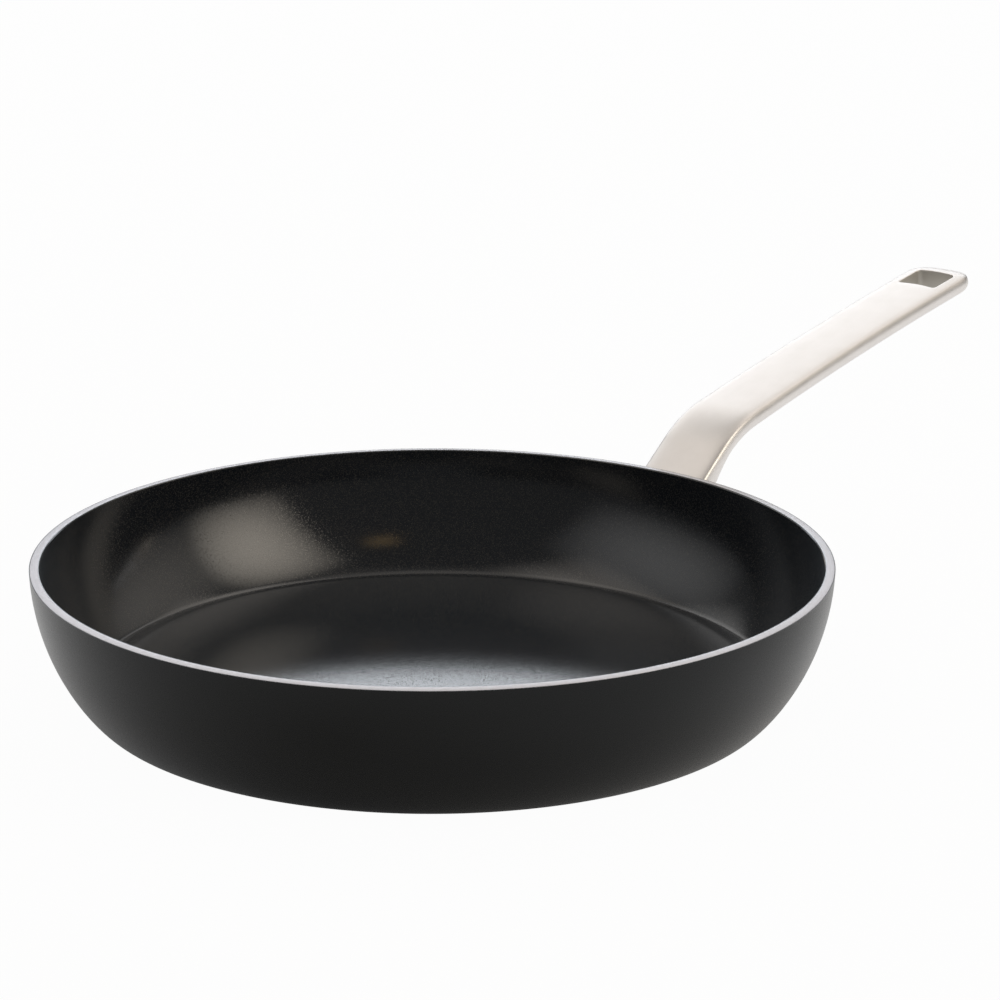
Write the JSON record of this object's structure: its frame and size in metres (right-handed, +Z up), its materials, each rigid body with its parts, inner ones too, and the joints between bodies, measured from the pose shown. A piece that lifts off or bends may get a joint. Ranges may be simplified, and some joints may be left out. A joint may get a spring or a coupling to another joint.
{
  "type": "frying pan",
  "caption": "Round frying pan with a flat base, curved walls, dark ceramic lining, bare metal rim and a bent steel handle with a hanging slot.",
  "frame": {"origin": "centre of the flat base, on the plane that the pan stands on", "axes": "+Z up along the pan's axis, +X along the handle, away from the pan"},
  "size_m": [0.4722, 0.28, 0.0948],
  "materials": {
    "bare_aluminium": "machined",
    "ceramic_lining": "satin",
    "charcoal_coating": "matte",
    "magnetic_steel": "brushed",
    "satin_stainless": "satin",
    "stud_aluminium": "satin",
    "fastener_steel": "satin"
  },
  "bodies": {
    "root": {"pan_body": "bare_aluminium", "ceramic_coating": "ceramic_lining", "outer_coating": "charcoal_coating", "induction_disc": "magnetic_steel", "handle": "satin_stainless", "weld_stud_left": "stud_aluminium", "weld_stud_right": "stud_aluminium", "handle_washer_left": "fastener_steel", "handle_washer_right": "fastener_steel", "handle_screw_left": "fastener_steel", "handle_screw_right": "fastener_steel"}
  },
  "joints": []
}
